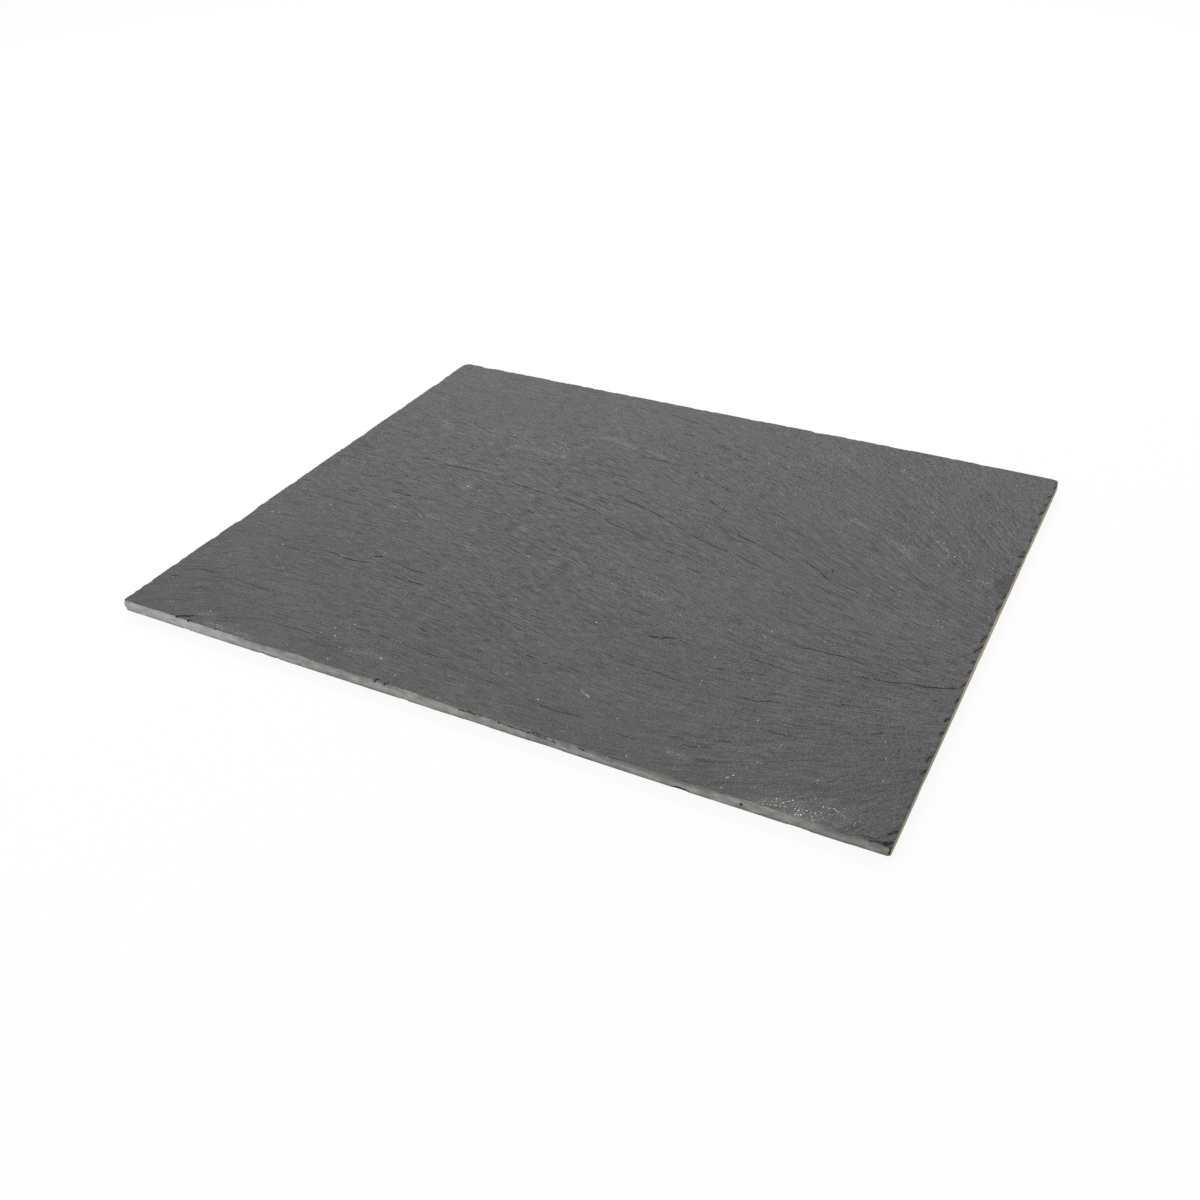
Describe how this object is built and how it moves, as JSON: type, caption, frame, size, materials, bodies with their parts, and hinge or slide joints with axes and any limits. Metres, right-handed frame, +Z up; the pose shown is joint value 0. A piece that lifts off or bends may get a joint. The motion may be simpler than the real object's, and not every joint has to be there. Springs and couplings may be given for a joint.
{
  "type": "slate serving board",
  "caption": "Thin rectangular serving board of dark riven slate with a flaked top edge, standing on small stick-on rubber feet at its corners.",
  "frame": {"origin": "middle of the footprint, on the surface that the feet stand on", "axes": "+Z up out of the serving face, +X along the long side to the right short edge, -Y towards the front long edge"},
  "size_m": [0.325, 0.265, 0.007],
  "materials": {
    "riven_slate": "split along the cleavage, matt with a faint silky sheen; sawn sides paler",
    "foot_rubber": "moulded, matt",
    "foam_adhesive": "matt foam"
  },
  "bodies": {
    "root": {"slate_slab": "riven_slate", "front_left_foot": "foot_rubber", "front_right_foot": "foot_rubber", "back_left_foot": "foot_rubber", "back_right_foot": "foot_rubber", "front_left_adhesive": "foam_adhesive", "front_right_adhesive": "foam_adhesive", "back_left_adhesive": "foam_adhesive", "back_right_adhesive": "foam_adhesive"}
  },
  "joints": []
}
